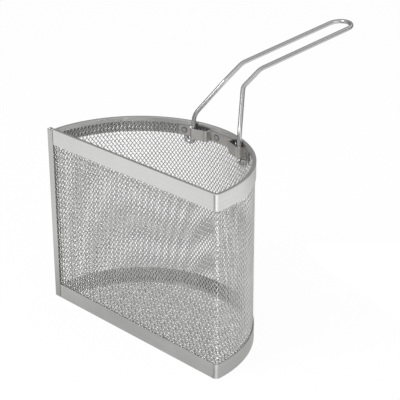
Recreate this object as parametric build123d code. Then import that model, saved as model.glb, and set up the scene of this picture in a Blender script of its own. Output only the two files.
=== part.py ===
from build123d import *
import os
from math import asin, cos, degrees, hypot, pi, radians, sin, sqrt, tan

# Half-round wire-mesh basket with a bent wire handle. Millimetres, +Z up.
# The origin is on the ground, at the middle of the flat front.
# The flat front faces -Y and the round wall bulges towards +Y.

# Basket
basket_width = 250.0
basket_depth = 132.0
basket_height = 206.0
corner_radius = 5.0
smallest_bend = 0.3

# Sheet steel strips
sheet_thickness = 0.9
rim_height = 18.0
hem_height = 5.0
foot_height = 17.0
foot_lip_width = 6.0
strip_flange = 9.0
strip_drop = 1.5
end_clearance = 0.5
fold_edge = 0.35
strip_bend = 1.2
cut_margin = 1.0

# Woven mesh, drawn as a net of diamond gaps, with crossing ridges on its flat sides
wire_diameter = 1.0
diamond_diagonal = 41.0
ridge_width = 4.0
gap_diagonal = 31.5
mesh_margin = 3.0

# Bracket that holds the handle, welded inside the round wall under the hem
bracket_thickness = 1.2
bracket_height = 12.0
bracket_clearance = 0.3
bracket_half_angle = 27.5
handle_turn = 3.8
loop_half_angle = 14.4
loop_depth = 7.5
loop_base_width = 24.0
loop_face_width = 19.0
loop_corner_radius = 4.0
weld_radius = 3.0
weld_height = 0.4
weld_angles = (-24.5, 4.0, 24.5)

# Handle, one bent wire
handle_wire = 5.0
handle_sides = 16
leg_clearance = 0.3
leg_from_loop = 7.658
hook_radius = 5.0
leg_bend_rise = 9.0
neck_rise = 49.0
neck_reach = 13.0
neck_half_width = 14.2
grip_rise = 63.5
grip_reach = 38.0
grip_end_rise = 81.5
grip_end_reach = 174.0
leg_bend_radius = 20.0
neck_bend_radius = 10.0
grip_bend_radius = 22.0

# Sizes that follow
mesh_thickness = 2 * wire_diameter
arc_radius = (basket_width**2 / 4 + basket_depth**2) / (2 * basket_depth)
arc_centre_y = basket_depth - arc_radius
mesh_outer = sheet_thickness
mesh_middle = mesh_outer + wire_diameter
mesh_inner = mesh_outer + mesh_thickness
hem_inner = mesh_inner + sheet_thickness
floor_top = sheet_thickness + mesh_thickness
left_end = -basket_width / 2
strip_left = left_end - strip_flange
strip_back = 2 * sheet_thickness + 2 * mesh_thickness
bracket_top = basket_height - hem_height - bracket_clearance
bracket_bottom = bracket_top - bracket_height
leg_inset = hem_inner + leg_clearance + handle_wire / 2
turn_axis = Location((0, arc_centre_y, 0), (0, 0, -handle_turn))


def half_round(inset):
    """Plan of the basket, drawn in by inset from its outer face."""
    disc = Pos(0, arc_centre_y) * Circle(arc_radius - inset)
    front = Pos(0, inset + basket_depth) * Rectangle(2 * basket_width, 2 * basket_depth)
    plan = disc & front
    bend_radius = corner_radius - inset
    if bend_radius <= smallest_bend:
        return plan
    right_corner = plan.vertices().sort_by(Axis.X)[-1]
    return fillet(right_corner, bend_radius)


def ring(outer_inset, inner_inset, bottom, top):
    """Wall that follows the plan of the basket."""
    section = half_round(outer_inset) - half_round(inner_inset)
    return Pos(0, 0, bottom) * extrude(section, top - bottom)


def block(left, right, near, far, bottom, top):
    size = (right - left, far - near, top - bottom)
    middle = ((left + right) / 2, (near + far) / 2, (bottom + top) / 2)
    return Pos(*middle) * Box(*size)


def strip_space():
    """Room that the rim and the foot band leave for the seam strip at the left corner."""
    left = strip_left - cut_margin
    right = left_end + sheet_thickness
    return block(left, right, -cut_margin, strip_back + end_clearance, -cut_margin, basket_height + cut_margin)


def diamond(diagonal, depth):
    return extrude(Rot(0, 0, 45) * Rectangle(diagonal / sqrt(2), diagonal / sqrt(2)), depth, both=True)


def lattice(length, height):
    """Centres of the diamonds that fill length by height, about its middle."""
    half = diamond_diagonal / 2
    columns = int(length / 2 / half)
    rows = int(height / 2 / half)
    places = []
    for column in range(-columns, columns + 1):
        for row in range(-rows, rows + 1):
            across = abs(column) * half
            up = abs(row) * half
            inside = across + half <= length / 2 and up + half <= height / 2
            if (column + row) % 2 == 0 and inside:
                places.append((column * half, row * half))
    return places


def wall_diamonds(front_diagonal, round_diagonal):
    """Diamond prisms that cross the flat front and the round wall."""
    window_bottom = foot_height + mesh_margin
    window_top = basket_height - rim_height - mesh_margin
    middle = (window_bottom + window_top) / 2
    height = window_top - window_bottom
    front_tool = diamond(front_diagonal, 2 * mesh_thickness)
    round_tool = diamond(round_diagonal, 2 * mesh_thickness)
    start_angle = asin(arc_centre_y / arc_radius)
    arc_length = (pi + 2 * start_angle) * arc_radius
    prisms = []
    for across, up in lattice(basket_width, height):
        prisms.append(Location((across, mesh_middle, middle + up), (90, 0, 0)) * front_tool)
    for along, up in lattice(arc_length, height):
        turn = along / arc_radius
        x = (arc_radius - mesh_middle) * sin(turn)
        y = arc_centre_y + (arc_radius - mesh_middle) * cos(turn)
        prisms.append(Pos(x, y, middle + up) * Rot(0, 0, -degrees(turn)) * Rot(90, 0, 0) * round_tool)
    return prisms


def wall_mesh():
    """One sheet round the whole basket, whose two ends lie side by side in the seam strip."""
    bottom = floor_top
    top = basket_height - sheet_thickness
    between_ridges = diamond_diagonal - ridge_width
    ridges = ring(mesh_outer, mesh_middle, bottom, top) - wall_diamonds(between_ridges, gap_diagonal)
    ground = ring(mesh_middle, mesh_inner, bottom, top) - wall_diamonds(gap_diagonal, gap_diagonal)
    strip_top = basket_height - strip_drop
    tail_left = strip_left + sheet_thickness
    tail = block(tail_left, left_end + mesh_middle, mesh_outer, strip_back - mesh_outer, bottom, strip_top)
    return ridges + ground + tail


def floor_mesh():
    """Flat half-round sheet that lies on the lip of the foot band."""
    ridges = Pos(0, 0, sheet_thickness) * extrude(half_round(mesh_outer), wire_diameter)
    ground = Pos(0, 0, sheet_thickness + wire_diameter) * extrude(half_round(mesh_outer), wire_diameter)
    ridge_cuts = []
    gap_cuts = []
    border = foot_lip_width + mesh_margin
    reach = arc_radius - border - diamond_diagonal / 2
    for across, back in lattice(basket_width, basket_width):
        y = border + diamond_diagonal / 2 + back
        inside = back >= 0 and hypot(across, y - arc_centre_y) <= reach
        if inside:
            place = Pos(across, y, sheet_thickness + wire_diameter)
            ridge_cuts.append(place * diamond(diamond_diagonal - ridge_width, mesh_thickness))
            gap_cuts.append(place * diamond(gap_diagonal, mesh_thickness))
    return (ridges - ridge_cuts) + (ground - gap_cuts)


def rim_band():
    """Strip folded over the top edge of the mesh, with a short hem inside."""
    top = basket_height
    outer_leg = ring(0, sheet_thickness, top - rim_height, top)
    fold = ring(0, hem_inner, top - sheet_thickness, top)
    hem = ring(mesh_inner, hem_inner, top - hem_height, top)
    band = outer_leg + fold + hem
    top_face = band.faces().sort_by(Axis.Z)[-1]
    band = chamfer(top_face.edges(), fold_edge)
    slit_left = left_end - cut_margin
    slit_right = left_end + 3 * hem_inner
    slit_bottom = top - rim_height - cut_margin
    slit_back = strip_back + end_clearance
    slit = block(slit_left, slit_right, strip_back, slit_back, slit_bottom, top + cut_margin)
    return band - strip_space() - slit


def foot_band():
    """Strip round the foot, with a lip turned in under the floor."""
    outer_leg = ring(0, sheet_thickness, 0, foot_height)
    lip = ring(0, foot_lip_width, 0, sheet_thickness)
    return outer_leg + lip - strip_space()


def seam_strip():
    """U-shaped strip that clamps both ends of the mesh at the left corner."""
    top = basket_height - strip_drop
    outer = block(strip_left, left_end, 0, strip_back, 0, top)
    bends = outer.edges().filter_by(Axis.Z).sort_by(Axis.X)[:2]
    outer = fillet(bends, strip_bend)
    room_left = strip_left + sheet_thickness
    room_right = left_end + cut_margin
    room_back = strip_back - mesh_outer
    return outer - block(room_left, room_right, mesh_outer, room_back, -cut_margin, top + cut_margin)


def loop_outline(grow):
    """Plan of one bracket loop at the top of the arc, grown or shrunk by grow."""
    seat = arc_radius - mesh_inner
    face = seat - loop_depth - grow
    base = seat + loop_depth
    slope = (loop_base_width - loop_face_width) / 2 / loop_depth
    face_half = loop_face_width / 2 + grow
    base_half = face_half + slope * (base - face)
    corners = ((-base_half, base), (-face_half, face), (face_half, face), (base_half, base))
    outline = make_face(Polyline(*corners, close=True))
    near = outline.vertices().sort_by(Axis.Y)[:2]
    return fillet(near, loop_corner_radius + grow)


def handle_bracket():
    """Welded strip with two loops that stand off the mesh for the legs of the handle."""
    outer_radius = arc_radius - mesh_inner
    inner_radius = outer_radius - bracket_thickness
    sector = Circle(outer_radius) - Circle(inner_radius)
    span = 2 * outer_radius
    for side in (-1, 1):
        place = Rot(0, 0, -side * bracket_half_angle)
        sector -= place * Pos(side * span / 2, 0) * Rectangle(span, 2 * span)
    sector &= Pos(0, span / 2) * Rectangle(2 * span, span)
    for angle in (-loop_half_angle, loop_half_angle):
        loop = loop_outline(bracket_thickness) & Circle(outer_radius)
        sector += Rot(0, 0, angle) * loop
    for angle in (-loop_half_angle, loop_half_angle):
        sector -= Rot(0, 0, angle) * loop_outline(0)
    strip = Pos(0, 0, bracket_bottom) * extrude(sector, bracket_height)
    for angle in weld_angles:
        turn = radians(angle)
        x = -inner_radius * sin(turn)
        y = inner_radius * cos(turn)
        z = bracket_bottom + bracket_height / 2
        place = Pos(x, y, z) * Rot(0, 0, angle) * Rot(90, 0, 0)
        strip += place * Cylinder(weld_radius, 2 * weld_height)
    return turn_axis * strip


def bend(before, corner, after, radius):
    """Start, middle and end of the arc that rounds a corner of the wire."""
    first = (before - corner).normalized()
    second = (after - corner).normalized()
    half = radians(first.get_angle(second)) / 2
    bisector = (first + second).normalized()
    start = corner + first * (radius / tan(half))
    end = corner + second * (radius / tan(half))
    middle = corner + bisector * (radius / sin(half) - radius)
    return start, middle, end


def handle_half():
    """Wire of the right half, from the end of the hook to the middle of the grip's end, and its start."""
    leg_circle = arc_radius - leg_inset
    leg_angle = radians(loop_half_angle) + leg_from_loop / leg_circle
    along = Vector(cos(leg_angle), -sin(leg_angle), 0)
    leg = Vector(leg_circle * sin(leg_angle), leg_circle * cos(leg_angle), 0)
    up = Vector(0, 0, 1)
    hook_top = leg + up * (bracket_bottom - bracket_clearance)
    hook_middle = hook_top + along * hook_radius - up * hook_radius
    hook_end = hook_top + along * (2 * hook_radius)
    leg_corner = leg + up * (basket_height + leg_bend_rise)
    neck = Vector(neck_half_width, arc_radius + neck_reach, basket_height + neck_rise)
    grip = Vector(neck_half_width, arc_radius + grip_reach, basket_height + grip_rise)
    grip_end = Vector(neck_half_width, arc_radius + grip_end_reach, basket_height + grip_end_rise)
    forward = (grip_end - grip).normalized()
    side = Vector(1, 0, 0)
    centre = grip_end - side * neck_half_width
    quarter = centre + (side + forward).normalized() * neck_half_width
    far = centre + forward * neck_half_width
    leg_arc = bend(hook_top, leg_corner, neck, leg_bend_radius)
    neck_arc = bend(leg_corner, neck, grip, neck_bend_radius)
    grip_arc = bend(neck, grip, grip_end, grip_bend_radius)
    pieces = [ThreePointArc(hook_end, hook_middle, hook_top)]
    last = hook_top
    for arc in (leg_arc, neck_arc, grip_arc):
        pieces.append(Line(last, arc[0]))
        pieces.append(ThreePointArc(*arc))
        last = arc[2]
    pieces.append(Line(last, grip_end))
    pieces.append(ThreePointArc(grip_end, quarter, far))
    return Wire(pieces), hook_end


def handle():
    """One wire, hooked under the bracket at both ends."""
    path, tip = handle_half()
    start = Plane(origin=tip, z_dir=Vector(0, 0, -1))
    section = RegularPolygon(handle_wire / 2, handle_sides)
    half = sweep(start * section, path=path)
    other = mirror(half, Plane.YZ)
    return turn_axis * (half + other)


os.makedirs("parts", exist_ok=True)
pieces = {
    "wall_mesh": wall_mesh(),
    "floor_mesh": floor_mesh(),
    "rim_band": rim_band(),
    "foot_band": foot_band(),
    "seam_strip": seam_strip(),
    "handle_bracket": handle_bracket(),
    "handle": handle(),
}
for name, piece in pieces.items():
    export_step(piece, f"parts/{name}.step")
    print(name, len(piece.solids()), round(piece.volume / 1000, 2), "cm3")
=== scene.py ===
import math
from typing import NamedTuple

import bmesh
import bpy
from bpy.props import FloatProperty, FloatVectorProperty, IntProperty, PointerProperty
from mathutils import Matrix, Vector


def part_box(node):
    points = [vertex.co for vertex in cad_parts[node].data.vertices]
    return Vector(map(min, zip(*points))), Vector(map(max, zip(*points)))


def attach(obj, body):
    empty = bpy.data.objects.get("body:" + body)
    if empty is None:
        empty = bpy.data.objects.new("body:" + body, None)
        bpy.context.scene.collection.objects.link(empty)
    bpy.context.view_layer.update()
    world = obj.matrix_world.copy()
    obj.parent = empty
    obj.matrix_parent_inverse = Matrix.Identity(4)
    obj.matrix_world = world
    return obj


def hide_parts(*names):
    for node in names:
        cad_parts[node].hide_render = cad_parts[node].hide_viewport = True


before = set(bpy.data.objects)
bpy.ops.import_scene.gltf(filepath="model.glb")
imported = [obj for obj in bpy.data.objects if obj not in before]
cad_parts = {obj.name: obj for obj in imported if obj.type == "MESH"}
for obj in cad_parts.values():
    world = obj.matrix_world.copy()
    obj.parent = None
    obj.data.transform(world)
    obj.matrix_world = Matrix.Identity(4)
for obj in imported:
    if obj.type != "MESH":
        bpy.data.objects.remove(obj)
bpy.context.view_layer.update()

# Looks of a half-round wire-mesh basket. Metres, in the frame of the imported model.
# The flat front faces -Y at y = 0, and the round wall is an arc about a centre on the Y axis.

bl_info = {
    "name": "Half-round Mesh Basket",
    "version": (1, 0, 0),
    "blender": (4, 5, 0),
    "location": "View3D > Sidebar > Basket",
    "description": "Weaves the wire mesh and finishes the steel of a half-round basket",
    "category": "Object",
}

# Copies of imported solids
MERGE_DISTANCE = 0.00001
SHARP_ANGLE = math.radians(50.0)

# Bracket: angles in degrees about the middle of the round wall, from the handle's middle
BRACKET_THICKNESS = 0.0012
WELD_ANGLES = (-24.5, 4.0, 24.5)
HANDLE_TURN = 3.8

# Weave: the gap at its start and the bend into the seam strip, in thicknesses of the mesh
SEAM_GAP = 0.25
SEAM_BEND = 1.4
SAMPLES_PER_CROSSING = 4
BENDS = ("Corner", "Arc", "Seam")


class Value:
    """A number that flows between nodes, written with ordinary arithmetic."""

    def __init__(self, tree, socket):
        self.tree = tree
        self.socket = socket

    def math(self, operation, *others):
        return calculate(self.tree, operation, self, *others)

    def __add__(self, other):
        return self.math("ADD", other)

    def __radd__(self, other):
        return calculate(self.tree, "ADD", other, self)

    def __sub__(self, other):
        return self.math("SUBTRACT", other)

    def __rsub__(self, other):
        return calculate(self.tree, "SUBTRACT", other, self)

    def __mul__(self, other):
        return self.math("MULTIPLY", other)

    def __rmul__(self, other):
        return calculate(self.tree, "MULTIPLY", other, self)

    def __truediv__(self, other):
        return self.math("DIVIDE", other)

    def __rtruediv__(self, other):
        return calculate(self.tree, "DIVIDE", other, self)

    def __neg__(self):
        return self.math("MULTIPLY", -1.0)

    def sin(self):
        return self.math("SINE")

    def cos(self):
        return self.math("COSINE")

    def sqrt(self):
        return self.math("SQRT")

    def at_least(self, other):
        return self.math("MAXIMUM", other)

    def at_most(self, other):
        return self.math("MINIMUM", other)

    def between(self, low, high):
        return self.at_least(low).at_most(high)

    def swing(self, amount):
        """Turns a noise between 0 and 1 into a swing of this size about 0."""
        return (self - 0.5) * amount

    def ramp(self, low, high):
        """0 below low, 1 above high, and a smooth rise between them."""
        sockets = {"Value": self, "From Min": low, "From Max": high}
        node = add_node(self.tree, "ShaderNodeMapRange", sockets, interpolation_type="SMOOTHSTEP")
        return Value(self.tree, node.outputs[0])

    def band(self, rise, fall):
        """1 between two ramps, each given by its low and high, and 0 on both sides of them."""
        return self.ramp(*rise) - self.ramp(*fall)


def plug(tree, value, socket):
    """Feeds a socket from a Value, another socket or a plain number."""
    if isinstance(value, Value):
        tree.links.new(value.socket, socket)
    elif isinstance(value, bpy.types.NodeSocket):
        tree.links.new(value, socket)
    else:
        socket.default_value = value


def add_node(tree, kind, sockets=None, **options):
    """Adds a node, sets its options, and then feeds its inputs by name or number."""
    node = tree.nodes.new(kind)
    for name, value in options.items():
        setattr(node, name, value)
    for key, value in (sockets or {}).items():
        plug(tree, value, node.inputs[key])
    return node


def calculate(tree, operation, *values):
    node = add_node(tree, "ShaderNodeMath", dict(enumerate(values)), operation=operation)
    return Value(tree, node.outputs[0])


def separate(tree, vector):
    node = add_node(tree, "ShaderNodeSeparateXYZ", {0: vector})
    return [Value(tree, socket) for socket in node.outputs]


def combine(tree, x, y, z):
    return add_node(tree, "ShaderNodeCombineXYZ", {0: x, 1: y, 2: z}).outputs[0]


def link_object(name, data):
    piece = bpy.data.objects.new(name, data)
    bpy.context.scene.collection.objects.link(piece)
    return piece


class BasketSettings(bpy.types.PropertyGroup):
    """Sizes and colours that a user would change."""

    wire_diameter: FloatProperty(
        name="Wire Diameter",
        description="Thickness of one wire of the mesh",
        default=0.001,
        unit="LENGTH",
    )
    diamond_width: FloatProperty(
        name="Diamond Width",
        description="Mesh of the wall, along the sheet",
        default=0.00433,
        unit="LENGTH",
    )
    diamond_height: FloatProperty(
        name="Diamond Height",
        description="Mesh of the wall, up the sheet",
        default=0.0061,
        unit="LENGTH",
    )
    floor_width: FloatProperty(
        name="Floor Width",
        description="Mesh of the floor, from side to side",
        default=0.00606,
        unit="LENGTH",
    )
    floor_depth: FloatProperty(
        name="Floor Depth",
        description="Mesh of the floor, from front to back",
        default=0.00478,
        unit="LENGTH",
    )
    wire_sides: IntProperty(
        name="Wire Sides",
        description="Faces round one wire of the mesh",
        default=6,
    )
    corner_radius: FloatProperty(
        name="Corner Radius",
        description="Outer bend at the right corner",
        default=0.005,
        unit="LENGTH",
    )
    mesh_colour: FloatVectorProperty(
        name="Mesh",
        description="Colour of the woven wire",
        default=(0.62, 0.62, 0.61),
        subtype="COLOR",
    )
    sheet_colour: FloatVectorProperty(
        name="Sheet",
        description="Colour of the steel strips",
        default=(0.62, 0.62, 0.61),
        subtype="COLOR",
    )
    seam_colour: FloatVectorProperty(
        name="Seam",
        description="Colour of the strip at the left corner",
        default=(0.5, 0.5, 0.49),
        subtype="COLOR",
    )
    bracket_colour: FloatVectorProperty(
        name="Bracket",
        description="Colour of the welded bracket",
        default=(0.58, 0.57, 0.55),
        subtype="COLOR",
    )
    weld_radius: FloatProperty(
        name="Weld Radius",
        description="Spot weld on the bracket",
        default=0.003,
        unit="LENGTH",
    )
    handle_colour: FloatVectorProperty(
        name="Handle",
        description="Colour of the polished handle",
        default=(0.55, 0.55, 0.55),
        subtype="COLOR",
    )
    stage_colour: FloatVectorProperty(
        name="Stage",
        description="Colour of the floor",
        default=(0.86, 0.86, 0.86),
        subtype="COLOR",
    )


def settings():
    return bpy.context.scene.basket_settings


class Plan:
    """The half-round plan of the basket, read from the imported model."""

    def __init__(self):
        foot_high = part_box("foot_band")[1]
        floor_low, floor_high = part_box("floor_mesh")
        bracket_low, bracket_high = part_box("handle_bracket")
        self.radius = foot_high[0]
        self.centre_y = foot_high[1] - self.radius
        self.sheet = floor_low[2]
        self.mesh = floor_high[2] - floor_low[2]
        self.floor_top = floor_high[2]
        self.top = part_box("rim_band")[1][2]
        self.strip_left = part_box("seam_strip")[0][0]
        self.weld_height = (bracket_low[2] + bracket_high[2]) / 2

    def welds(self):
        """Middles of the bracket's spot welds, on the face that looks into the basket."""
        radius = self.radius - self.sheet - self.mesh - BRACKET_THICKNESS
        places = []
        for angle in WELD_ANGLES:
            turn = math.radians(angle - HANDLE_TURN)
            x = -radius * math.sin(turn)
            y = self.centre_y + radius * math.cos(turn)
            places.append((x, y, self.weld_height))
        return places


class Weave:
    """A Geometry Nodes tree that weaves one run of wires, with named inputs for its sizes."""

    def __init__(self, name, sizes):
        self.tree = bpy.data.node_groups.new(name, "GeometryNodeTree")
        new_socket = self.tree.interface.new_socket
        new_socket("Geometry", in_out="OUTPUT", socket_type="NodeSocketGeometry")
        for label, value in sizes.items():
            kind = "NodeSocketInt" if isinstance(value, int) else "NodeSocketFloat"
            new_socket(label, in_out="INPUT", socket_type=kind).default_value = value
        steel = new_socket("Material", in_out="INPUT", socket_type="NodeSocketMaterial")
        self.steel_input = steel.identifier
        self.inputs = add_node(self.tree, "NodeGroupInput").outputs

    def size(self, label):
        return Value(self.tree, self.inputs[label])

    def geometry(self, kind, sockets=None):
        """Adds a node and gives its first output."""
        return add_node(self.tree, kind, sockets).outputs[0]

    def wires(self):
        """Straight curves, with each point's wire number and its place along the wire."""
        points = self.geometry("GeometryNodeMeshLine", {"Count": self.inputs["Wires"]})
        line = self.geometry("GeometryNodeCurvePrimitiveLine")
        sampling = {"Curve": line, "Count": self.inputs["Samples"]}
        wire = self.geometry("GeometryNodeResampleCurve", sampling)
        placing = {"Points": points, "Instance": wire}
        placed = self.geometry("GeometryNodeInstanceOnPoints", placing)
        curves = self.geometry("GeometryNodeRealizeInstances", {"Geometry": placed})
        of_point = add_node(self.tree, "GeometryNodeCurveOfPoint").outputs
        number = Value(self.tree, of_point["Curve Index"])
        along = Value(self.tree, of_point["Index in Curve"]) / (self.size("Samples") - 1.0)
        return curves, number, along

    def finish(self, curves, position, length):
        """Moves the wires into place, drops those without length and makes the others round."""
        moving = {"Geometry": curves, "Position": position}
        moved = self.geometry("GeometryNodeSetPosition", moving)
        missing = length.math("LESS_THAN", self.size("Wire Radius"))
        dropping = {"Geometry": moved, "Selection": missing}
        kept = self.geometry("GeometryNodeDeleteGeometry", dropping)
        circle = {"Resolution": self.inputs["Sides"], "Radius": self.inputs["Wire Radius"]}
        ring = self.geometry("GeometryNodeCurvePrimitiveCircle", circle)
        sweep = {"Curve": kept, "Profile Curve": ring, "Fill Caps": True}
        tube = self.geometry("GeometryNodeCurveToMesh", sweep)
        smooth = self.geometry("GeometryNodeSetShadeSmooth", {"Geometry": tube})
        real = self.geometry("GeometryNodeRealizeInstances", {"Geometry": smooth})
        finish = {"Geometry": real, "Material": self.inputs["Material"]}
        done = self.geometry("GeometryNodeSetMaterial", finish)
        add_node(self.tree, "NodeGroupOutput", {0: done})

    def run(self, name, material):
        """Evaluates the tree and keeps the result as a plain mesh object."""
        holder = link_object(name + "_source", bpy.data.meshes.new(name + "_source"))
        modifier = holder.modifiers.new("Weave", "NODES")
        modifier.node_group = self.tree
        modifier[self.steel_input] = material
        graph = bpy.context.evaluated_depsgraph_get()
        mesh = bpy.data.meshes.new_from_object(holder.evaluated_get(graph))
        mesh.name = name
        holder.modifiers.remove(modifier)
        bpy.data.objects.remove(holder)
        if not mesh.polygons:
            raise RuntimeError(name + " has no faces")
        return link_object(name, mesh)


class SheetPath:
    """The wall mesh in plan: the front, the right corner, the round wall, a bend and a tail."""

    def __init__(self, plan, corner_radius):
        inset = plan.sheet + plan.mesh / 2
        second = inset + plan.mesh
        start_x = plan.strip_left + plan.sheet + plan.mesh * SEAM_GAP
        rise = corner_radius - plan.centre_y
        corner_x = math.sqrt((plan.radius - corner_radius) ** 2 - rise**2)
        begin = math.atan2(rise, corner_x)
        arc_radius = plan.radius - inset
        seam_radius = plan.mesh * SEAM_BEND
        seam_rise = second + seam_radius - plan.centre_y
        seam_x = math.sqrt((arc_radius + seam_radius) ** 2 - seam_rise**2)
        corner_turn = math.pi / 2 + begin
        arc_turn = math.pi - math.atan2(seam_rise, seam_x) - begin
        self.sizes = {
            "Start X": start_x,
            "Start Y": inset,
            "Front Length": corner_x - start_x,
            "Corner Radius": corner_radius - inset,
            "Corner Turn": corner_turn,
            "Arc Radius": arc_radius,
            "Arc Turn": arc_turn,
            "Seam Radius": seam_radius,
            "Seam Turn": corner_turn + arc_turn - math.pi,
            "Tail Length": -seam_x - start_x,
        }
        self.length = self.sizes["Front Length"] + self.sizes["Tail Length"]
        for bend in BENDS:
            self.length += self.sizes[bend + " Radius"] * self.sizes[bend + " Turn"]

    def place(self, size, along, out):
        """Plan position at a length along the sheet and a distance outward from its middle."""
        front = along.between(0.0, size("Front Length"))
        along = along - size("Front Length")
        turns = []
        for bend in BENDS:
            radius = size(bend + " Radius")
            length = radius * size(bend + " Turn")
            turns.append(along.between(0.0, length) / radius)
            along = along - length
        corner, arc, seam = turns
        tail = along.between(0.0, size("Tail Length"))
        arc_start = size("Corner Turn")
        arc_end = arc_start + size("Arc Turn")
        x = size("Start X") + front + corner.sin() * size("Corner Radius") - tail
        x = x + ((arc + arc_start).sin() - arc_start.sin()) * size("Arc Radius")
        x = x + (arc_end.sin() - (arc_end - seam).sin()) * size("Seam Radius")
        y = size("Start Y") + (1.0 - corner.cos()) * size("Corner Radius")
        y = y + (arc_start.cos() - (arc + arc_start).cos()) * size("Arc Radius")
        y = y + ((arc_end - seam).cos() - arc_end.cos()) * size("Seam Radius")
        heading = corner + arc - seam
        return x + out * heading.sin(), y - out * heading.cos()


def wall_weave(plan, path, slope, first_wire, count):
    """Wires of the wall that lean one way: slope 1 rises along the sheet, slope -1 falls."""
    chosen = settings()
    wire_radius = chosen.wire_diameter / 2
    bottom = plan.floor_top + wire_radius
    rise = plan.top - plan.sheet - wire_radius - bottom
    sizes = {
        "Wires": count,
        "Samples": SAMPLES_PER_CROSSING * round(rise / chosen.diamond_height) + 1,
        "Sides": chosen.wire_sides,
        "Wire Radius": wire_radius,
        "First Wire": float(first_wire),
        "Diamond Width": chosen.diamond_width,
        "Slant": chosen.diamond_width / chosen.diamond_height,
        "Bottom": bottom,
        "Rise": rise,
        "Sheet Length": path.length,
    }
    weave = Weave("Wall Weave", {**sizes, **path.sizes})
    curves, number, along = weave.wires()
    order = number + weave.size("First Wire")
    wide = weave.size("Diamond Width")
    slant = weave.size("Slant")
    length = weave.size("Sheet Length")
    start = order * wide
    if slope > 0:
        lowest = (-start).at_least(0.0) / slant
        highest = ((length - start) / slant).at_most(weave.size("Rise"))
    else:
        lowest = (start - length).at_least(0.0) / slant
        highest = (start / slant).at_most(weave.size("Rise"))
    span = (highest - lowest).at_least(0.0)
    height = lowest + span * along
    shift = height * slant * float(slope)
    across = start + shift
    crossing = (across + shift) / wide
    wave = (crossing * math.pi).cos() * (order * math.pi).cos()
    out = wave * weave.size("Wire Radius") * float(slope)
    x, y = path.place(weave.size, across, out)
    weave.finish(curves, combine(weave.tree, x, y, height + weave.size("Bottom")), span)
    return weave


def floor_weave(plan, side):
    """Wires of the floor that run one way, cut to the half-round plan: side is 1 or -1."""
    chosen = settings()
    wire_radius = chosen.wire_diameter / 2
    lean = math.atan2(chosen.floor_depth, chosen.floor_width)
    pitch = chosen.floor_depth * math.cos(lean)
    reach = plan.radius - plan.sheet - wire_radius
    half_count = int(reach / pitch)
    crossings = int(2 * reach / math.hypot(chosen.floor_width, chosen.floor_depth))
    sizes = {
        "Wires": 2 * half_count + 1,
        "Samples": SAMPLES_PER_CROSSING * crossings + 1,
        "Sides": chosen.wire_sides,
        "Wire Radius": wire_radius,
        "First Wire": -float(half_count),
        "Pitch": pitch,
        "Lean": lean,
        "Reach": reach,
        "Front": plan.sheet + wire_radius - plan.centre_y,
        "Centre Y": plan.centre_y,
        "Level": plan.sheet + plan.mesh / 2,
    }
    weave = Weave("Floor Weave", sizes)
    curves, number, along = weave.wires()
    order = number + weave.size("First Wire")
    pitch = weave.size("Pitch")
    lean = weave.size("Lean")
    reach = weave.size("Reach")
    cos = lean.cos() * float(side)
    sin = lean.sin()
    offset = order * pitch
    half_chord = (reach * reach - offset * offset).at_least(0.0).sqrt()
    begin = ((weave.size("Front") - offset * cos) / sin).between(-half_chord, half_chord)
    span = half_chord - begin
    run = begin + span * along
    double = lean * 2.0
    crossing = run * double.sin() / pitch + order * double.cos() * float(side)
    wave = (crossing * math.pi).cos() * (order * math.pi).cos()
    x = run * cos - offset * sin
    y = run * sin + offset * cos + weave.size("Centre Y")
    z = wave * weave.size("Wire Radius") * float(side) + weave.size("Level")
    weave.finish(curves, combine(weave.tree, x, y, z), span)
    return weave


class Marks(NamedTuple):
    """One layer of noise on a steel, with its swings in tone and in roughness."""

    stretch: tuple
    scale: float
    detail: float
    tone: float
    gloss: float


EVEN = (1.0, 1.0, 1.0)
ALONG_LEVEL = (12.0, 12.0, 900.0)
ALONG_UPRIGHT = (900.0, 900.0, 12.0)

# Strips: the brush marks run along each strip, so their stretch is the strip's own
BAND_ROUGHNESS = 0.34
SEAM_ROUGHNESS = 0.36
STRIP_BRUSH = (1.0, 4.0, 0.25, 0.25)
STRIP_CLOUD = Marks(EVEN, 28.0, 3.0, 0.22, 0.15)
STRIP_BUMP = 0.15
# Painted shade on the inner sides of the rim and the foot band, where the mesh keeps light off
# them
RIM_PAINTED_SHADE = 0.3
FOOT_PAINTED_SHADE = 0.2

# Inner side of a strip, where painted shade goes: depths in sheet thicknesses, then the start of
# the right corner and the height of the rim's fold, which both stay free of painted shade
INNER_FACE = (0.4, 0.9)
HEM_FACE = (3.3, 3.9)
CORNER_START = (0.114, 0.117)
RIM_FOLD = (0.2045, 0.2055)

BRACKET_ROUGHNESS = 0.36
BRACKET_MARKS = (
    Marks((80.0, 80.0, 700.0), 1.0, 4.0, 0.3, 0.0),
    Marks(EVEN, 90.0, 3.0, 0.5, 0.3),
)
BRACKET_BUMP = 0.25
CLOUD_BUMP_SHARE = 0.6

# Spot weld: distances in weld radii
WELD_RING = ((0.62, 0.9), (1.05, 1.35))
WELD_HALO = (1.0, 2.4)
RING_SHADE = 0.5
HALO_SHADE = 0.12
HALO_ROUGHNESS = 0.08

WIRE_ROUGHNESS = 0.22
WIRE_MARKS = (Marks(EVEN, 60.0, 3.0, 0.3, 0.0), Marks(EVEN, 900.0, 3.0, 0.12, 0.06))

# Mesh behind the front is duller, and less so near the rim
DULL_DEPTH = (0.003, 0.006)
BRIGHT_HEIGHT = (0.186, 0.19)
BRIGHT_SHARE = 0.5
DULL_ROUGHNESS = 0.13

HANDLE_ROUGHNESS = 0.3
HANDLE_MARKS = (
    Marks((1.0, 0.25, 0.25), 700.0, 3.0, 0.12, 0.04),
    Marks(EVEN, 45.0, 3.0, 0.12, 0.1),
)

BUMP_DISTANCE = 0.0001


def blank_material(name):
    """A material with nothing but its output, and the socket for its surface."""
    material = bpy.data.materials.new(name)
    material.use_nodes = True
    tree = material.node_tree
    tree.nodes.clear()
    return material, tree, add_node(tree, "ShaderNodeOutputMaterial").inputs["Surface"]


def object_place(tree):
    return add_node(tree, "ShaderNodeTexCoord").outputs["Object"]


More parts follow.
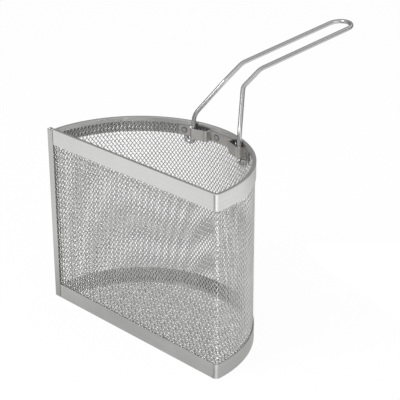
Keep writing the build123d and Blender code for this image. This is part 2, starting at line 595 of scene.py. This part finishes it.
def stretched_noise(tree, stretch, scale, detail=3.0):
    """Noise in object space, drawn out along the axes with a small stretch."""
    sockets = {0: object_place(tree), 1: stretch}
    drawn = add_node(tree, "ShaderNodeVectorMath", sockets, operation="MULTIPLY")
    sockets = {"Vector": drawn.outputs[0], "Scale": scale, "Detail": detail}
    return Value(tree, add_node(tree, "ShaderNodeTexNoise", sockets).outputs[0])


def tinted(tree, colour, shade):
    """A colour made lighter or darker by a value about 1."""
    return combine(tree, *[shade * part for part in colour])


class Steel:
    """A metal in the making, whose tone and roughness swing with each layer of marks."""

    def __init__(self, name, layers, roughness):
        self.material, self.tree, surface = blank_material(name)
        self.shader = add_node(self.tree, "ShaderNodeBsdfPrincipled", {"Metallic": 1.0})
        plug(self.tree, self.shader.outputs[0], surface)
        self.tone = 1.0
        self.roughness = roughness
        self.noises = []
        for layer in layers:
            noise = stretched_noise(self.tree, layer.stretch, layer.scale, layer.detail)
            self.noises.append(noise)
            self.tone = noise.swing(layer.tone) + self.tone
            if layer.gloss:
                self.roughness = noise.swing(layer.gloss) + self.roughness

    def place(self):
        return separate(self.tree, object_place(self.tree))

    def finish(self, colour, height=None, strength=0.0):
        """Feeds the shader, with a bump where a height is given."""
        shown = {
            "Base Color": tinted(self.tree, colour, self.tone),
            "Roughness": self.roughness,
        }
        if height is not None:
            bump = {"Height": height, "Strength": strength, "Distance": BUMP_DISTANCE}
            shown["Normal"] = add_node(self.tree, "ShaderNodeBump", bump).outputs[0]
        for name, value in shown.items():
            plug(self.tree, value, self.shader.inputs[name])
        return self.material


def painted_shade_face(steel, plan):
    """1 on the side of a strip that lies against the mesh, where its steel gets painted shade,
    and 0 on its outer side.
    """
    x, y, z = steel.place()
    back = y - plan.centre_y
    depth = (plan.radius - (x * x + back * back).sqrt()).at_most(y) / plan.sheet
    inner = depth.band(INNER_FACE, HEM_FACE)
    return inner * (1.0 - x.ramp(*CORNER_START)) * (1.0 - z.ramp(*RIM_FOLD))


def brushed_steel(name, colour, stretch, roughness, painted_shade=0.0):
    """Sheet steel with fine brush marks along the strip, faint clouds, and painted shade on its
    inner side where one is given.
    """
    steel = Steel(name, (Marks(stretch, *STRIP_BRUSH), STRIP_CLOUD), roughness)
    # Painted shade: the strip's inner side is darkened where the mesh would keep light off it
    if painted_shade:
        steel.tone = steel.tone * (1.0 - painted_shade_face(steel, Plan()) * painted_shade)
    return steel.finish(colour, steel.noises[0], STRIP_BUMP)


def welded_steel(name, colour, welds, weld_radius):
    """Dull strip steel with a dark ring and a tinted halo round each spot weld."""
    steel = Steel(name, BRACKET_MARKS, BRACKET_ROUGHNESS)
    ring = 0.0
    halo = 0.0
    for centre in welds:
        sockets = {0: object_place(steel.tree), 1: centre}
        apart = add_node(steel.tree, "ShaderNodeVectorMath", sockets, operation="DISTANCE")
        distance = Value(steel.tree, apart.outputs["Value"]) / weld_radius
        inside, outside = WELD_RING
        ring = distance.ramp(*inside) * (1.0 - distance.ramp(*outside)) + ring
        halo = 1.0 - distance.ramp(*WELD_HALO) + halo
    steel.tone = steel.tone - ring * RING_SHADE - halo * HALO_SHADE
    steel.roughness = steel.roughness + halo * HALO_ROUGHNESS
    brush, cloud = steel.noises
    return steel.finish(colour, brush + cloud * CLOUD_BUMP_SHARE - ring, BRACKET_BUMP)


def woven_steel(name, colour):
    """Satin wire, a little uneven from wire to wire."""
    steel = Steel(name, WIRE_MARKS, WIRE_ROUGHNESS)
    _, depth, height = steel.place()
    dull = depth.ramp(*DULL_DEPTH) * (1.0 - height.ramp(*BRIGHT_HEIGHT) * BRIGHT_SHARE)
    steel.roughness = steel.roughness + dull * DULL_ROUGHNESS
    return steel.finish(colour)


def polished_wire(name, colour):
    """Bright drawn wire with faint marks."""
    return Steel(name, HANDLE_MARKS, HANDLE_ROUGHNESS).finish(colour)


class BASKET_OT_wall_weave(bpy.types.Operator):
    """Weaves the wall mesh from wires that lean both ways"""

    bl_idname = "basket.wall_weave"
    bl_label = "Weave Wall"

    def execute(self, context):
        plan = Plan()
        chosen = settings()
        material = woven_steel("wall_wire", chosen.mesh_colour)
        path = SheetPath(plan, chosen.corner_radius)
        height = plan.top - plan.sheet - plan.floor_top
        wide = int(path.length / chosen.diamond_width) + 1
        tall = int(height / chosen.diamond_height) + 1
        total = wide + tall
        half = total // 2
        for slope, label, first in ((1, "rising", -tall), (-1, "falling", 1)):
            for part, (begin, count) in enumerate(((first, half), (first + half, total - half))):
                weave = wall_weave(plan, path, slope, begin, count)
                piece = weave.run(f"wall_wires_{label}_{part + 1}", material)
                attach(piece, "root")
                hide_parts("wall_mesh")
        return {"FINISHED"}


class BASKET_OT_floor_weave(bpy.types.Operator):
    """Weaves the floor mesh inside the foot band"""

    bl_idname = "basket.floor_weave"
    bl_label = "Weave Floor"

    def execute(self, context):
        plan = Plan()
        material = woven_steel("floor_wire", settings().mesh_colour)
        for label, side in (("a", 1), ("b", -1)):
            piece = floor_weave(plan, side).run(f"floor_wires_{label}", material)
            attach(piece, "root")
            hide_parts("floor_mesh")
        return {"FINISHED"}


class BASKET_OT_strips(bpy.types.Operator):
    """Finishes the rim, the foot band, the seam strip and the bracket"""

    bl_idname = "basket.strips"
    bl_label = "Finish Strips"

    def execute(self, context):
        chosen = settings()
        sheet = chosen.sheet_colour
        seam = chosen.seam_colour
        bracket = chosen.bracket_colour
        welds = Plan().welds()
        steels = {
            "rim_band": brushed_steel(
                "band_steel", sheet, ALONG_LEVEL, BAND_ROUGHNESS, RIM_PAINTED_SHADE
            ),
            "foot_band": brushed_steel(
                "foot_steel", sheet, ALONG_LEVEL, BAND_ROUGHNESS, FOOT_PAINTED_SHADE
            ),
            "seam_strip": brushed_steel("strip_steel", seam, ALONG_UPRIGHT, SEAM_ROUGHNESS),
            "handle_bracket": welded_steel("bracket_steel", bracket, welds, chosen.weld_radius),
        }
        for node, steel in steels.items():
            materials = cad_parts[node].data.materials
            materials.clear()
            materials.append(steel)
        return {"FINISHED"}


def smooth_copy(name, source):
    """A merged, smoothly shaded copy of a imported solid."""
    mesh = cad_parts[source].data.copy()
    shape = bmesh.new()
    shape.from_mesh(mesh)
    bmesh.ops.remove_doubles(shape, verts=shape.verts, dist=MERGE_DISTANCE)
    shape.to_mesh(mesh)
    shape.free()
    mesh.shade_smooth()
    mesh.set_sharp_from_angle(angle=SHARP_ANGLE)
    mesh.materials.clear()
    mesh.name = name
    return link_object(name, mesh)


class BASKET_OT_handle(bpy.types.Operator):
    """Rounds and polishes the wire handle"""

    bl_idname = "basket.handle"
    bl_label = "Finish Handle"

    def execute(self, context):
        piece = smooth_copy("round_handle", "handle")
        piece.data.materials.append(polished_wire("handle_wire", settings().handle_colour))
        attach(piece, "root")
        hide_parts("handle")
        return {"FINISHED"}


class BASKET_OT_stage(bpy.types.Operator):
    """Sets the floor, the lights and the camera"""

    bl_idname = "basket.stage"
    bl_label = "Set Stage"

    def execute(self, context):
        make_floor()
        make_world()
        make_lights()
        make_camera()
        context.scene.view_settings.view_transform = "Standard"
        return {"FINISHED"}


# Studio floor, as the camera and the steel see it: a painted glow, nearly white, with painted
# shadow close to the basket, painted dimness behind it, and a painted dark and bright sector off
# the right corner
FLOOR_HALF_WIDTH = 6.0
FLOOR_CLOUD_SCALE = 3.0
FLOOR_CLOUD = 0.01
GLOW_SHARE = 0.92
CAMERA_WHITE = 1.02
BASKET_MIDDLE_Y = 0.066
ACROSS_WEIGHT = 0.4
CLOSE_FLOOR = 0.6
OPEN_FLOOR_GAIN = 0.55
OPEN_FLOOR = (0.08, 0.25)
DIAGONAL = 0.7
BEHIND_FLOOR = (0.1, 0.6)
BEHIND_LOSS = 0.75
CORNER_X = 0.12
CORNER_Y = 0.005
DARK_SECTOR = ((-2.1, -1.9), (-1.4, -1.2))
DARK_SECTOR_LOSS = 0.6
BRIGHT_SECTOR = ((-1.2, -1.0), (-0.5, -0.3))
BRIGHT_SECTOR_GAIN = 0.7
SECTOR_REACH = (0.0, 0.3)
CLOSE_SECTOR = 0.4
OPEN_SECTOR_GAIN = 0.6

# Soft sky, brighter overhead and dimmer behind the basket
SKY_LEVEL = 0.3
SKY_GAIN = 0.4
SKY_RISE = (-0.1, 0.8)
SKY_BEHIND = (-0.3, 0.7)
SKY_BEHIND_LOSS = 0.19

LIGHT_AIM = Vector((0.0, 0.08, 0.1))

# Name, place, width, height and power
LIGHTS = (
    ("key", (-0.3, -1.5, 1.3), 0.7, 0.7, 15.0),
    ("fill", (1.6, -0.3, 0.9), 1.5, 1.5, 7.0),
    ("back", (0.2, 1.6, 1.3), 1.4, 0.8, 2.0),
)


def floor_level(tree):
    """Brightness of the floor's painted glow at each place, as the steel mirrors it, with its
    painted shadow and sectors.
    """
    x, y, _ = separate(tree, object_place(tree))
    back = y - BASKET_MIDDLE_Y
    away = (x * x * ACROSS_WEIGHT + back * back).sqrt()
    behind = (y - x) * DIAGONAL
    level = away.ramp(*OPEN_FLOOR) * OPEN_FLOOR_GAIN + CLOSE_FLOOR
    level = level - behind.ramp(*BEHIND_FLOOR) * BEHIND_LOSS
    turn = (y - CORNER_Y).math("ARCTAN2", x - CORNER_X)
    outer = away.ramp(*SECTOR_REACH) * OPEN_SECTOR_GAIN + CLOSE_SECTOR
    level = level * (1.0 - turn.band(*DARK_SECTOR) * outer * DARK_SECTOR_LOSS)
    return level + turn.band(*BRIGHT_SECTOR) * outer * BRIGHT_SECTOR_GAIN


def make_floor():
    half = FLOOR_HALF_WIDTH
    corners = [(-half, -half, 0.0), (half, -half, 0.0), (half, half, 0.0), (-half, half, 0.0)]
    mesh = bpy.data.meshes.new("floor")
    mesh.from_pydata(corners, [], [(0, 1, 2, 3)])
    floor = link_object("floor", mesh)
    material, tree, surface = blank_material("floor_paint")
    cloud = stretched_noise(tree, EVEN, FLOOR_CLOUD_SCALE)
    colour = tinted(tree, settings().stage_colour, cloud.swing(FLOOR_CLOUD) + 1.0)
    paint = add_node(tree, "ShaderNodeBsdfDiffuse", {"Color": colour})
    rays = add_node(tree, "ShaderNodeLightPath").outputs
    seen = Value(tree, rays["Is Camera Ray"])
    level = floor_level(tree).at_least(seen * CAMERA_WHITE)
    glow = add_node(tree, "ShaderNodeEmission", {"Color": combine(tree, level, level, level)})
    shown = seen.at_least(Value(tree, rays["Is Glossy Ray"]))
    share = shown.at_least(Value(tree, rays["Is Transmission Ray"])) * GLOW_SHARE
    sockets = {"Fac": share, 1: paint.outputs[0], 2: glow.outputs[0]}
    plug(tree, add_node(tree, "ShaderNodeMixShader", sockets).outputs[0], surface)
    floor.data.materials.append(material)


def make_world():
    world = bpy.data.worlds.new("studio")
    world.use_nodes = True
    bpy.context.scene.world = world
    tree = world.node_tree
    tree.nodes.clear()
    x, y, z = separate(tree, add_node(tree, "ShaderNodeTexCoord").outputs["Generated"])
    behind = (y - x) * DIAGONAL
    level = z.ramp(*SKY_RISE) * SKY_GAIN + SKY_LEVEL - behind.ramp(*SKY_BEHIND) * SKY_BEHIND_LOSS
    soft = add_node(tree, "ShaderNodeBackground", {"Color": combine(tree, level, level, level)})
    white = add_node(tree, "ShaderNodeBackground", {"Color": (1.0, 1.0, 1.0, 1.0)})
    seen = add_node(tree, "ShaderNodeLightPath").outputs["Is Camera Ray"]
    sockets = {"Fac": seen, 1: soft.outputs[0], 2: white.outputs[0]}
    mix = add_node(tree, "ShaderNodeMixShader", sockets)
    add_node(tree, "ShaderNodeOutputWorld", {"Surface": mix.outputs[0]})


def make_lights():
    for name, place, width, height, power in LIGHTS:
        data = bpy.data.lights.new(name, "AREA")
        data.shape = "RECTANGLE"
        data.size = width
        data.size_y = height
        data.energy = power
        light = link_object(name, data)
        light.location = place
        light.rotation_euler = (LIGHT_AIM - Vector(place)).to_track_quat("-Z", "Y").to_euler()


# Camera, found from the edges of the basket in the photograph
PICTURE_WIDTH = 400.0
SENSOR_WIDTH = 36.0
CAMERA_AZIMUTH = math.radians(45.6)
CAMERA_ELEVATION = math.radians(22.88)
CAMERA_ROLL = math.radians(-0.33)
CAMERA_DISTANCE = 1.4
CAMERA_TARGET = Vector((-0.0041, 0.0939, 0.1672))
CAMERA_CLIP = 0.01
FOCAL_PIXELS = 1294.6
VIEW_CENTRE_X = 192.1
VIEW_CENTRE_Y = 168.8


def make_camera():
    data = bpy.data.cameras.new("camera")
    camera = link_object("camera", data)
    level = math.cos(CAMERA_ELEVATION)
    east = math.sin(CAMERA_AZIMUTH)
    north = math.cos(CAMERA_AZIMUTH)
    back = Vector((east * level, -north * level, math.sin(CAMERA_ELEVATION)))
    right = Vector((north, east, 0.0))
    up = back.cross(right)
    side = right * math.cos(CAMERA_ROLL) + up * math.sin(CAMERA_ROLL)
    top = up * math.cos(CAMERA_ROLL) - right * math.sin(CAMERA_ROLL)
    turn = Matrix((side, top, back)).transposed().to_4x4()
    camera.matrix_world = Matrix.Translation(CAMERA_TARGET + back * CAMERA_DISTANCE) @ turn
    data.sensor_fit = "HORIZONTAL"
    data.sensor_width = SENSOR_WIDTH
    data.lens = FOCAL_PIXELS / PICTURE_WIDTH * SENSOR_WIDTH
    data.shift_x = 0.5 - VIEW_CENTRE_X / PICTURE_WIDTH
    data.shift_y = VIEW_CENTRE_Y / PICTURE_WIDTH - 0.5
    data.clip_start = CAMERA_CLIP
    bpy.context.scene.camera = camera


class BASKET_PT_panel(bpy.types.Panel):
    bl_label = "Basket"
    bl_idname = "BASKET_PT_panel"
    bl_space_type = "VIEW_3D"
    bl_region_type = "UI"
    bl_category = "Basket"

    def draw(self, context):
        chosen = context.scene.basket_settings
        for name in BasketSettings.__annotations__:
            self.layout.prop(chosen, name)
        for operator in OPERATORS:
            self.layout.operator(operator.bl_idname)


OPERATORS = (
    BASKET_OT_wall_weave,
    BASKET_OT_floor_weave,
    BASKET_OT_strips,
    BASKET_OT_handle,
    BASKET_OT_stage,
)
CLASSES = (BasketSettings,) + OPERATORS + (BASKET_PT_panel,)


def register():
    for cls in CLASSES:
        bpy.utils.register_class(cls)
    bpy.types.Scene.basket_settings = PointerProperty(type=BasketSettings)


def unregister():
    del bpy.types.Scene.basket_settings
    for cls in reversed(CLASSES):
        bpy.utils.unregister_class(cls)


def main():
    register()
    bpy.ops.basket.wall_weave()
    bpy.ops.basket.floor_weave()
    bpy.ops.basket.strips()
    bpy.ops.basket.handle()
    bpy.ops.basket.stage()


if __name__ == "__main__":
    main()
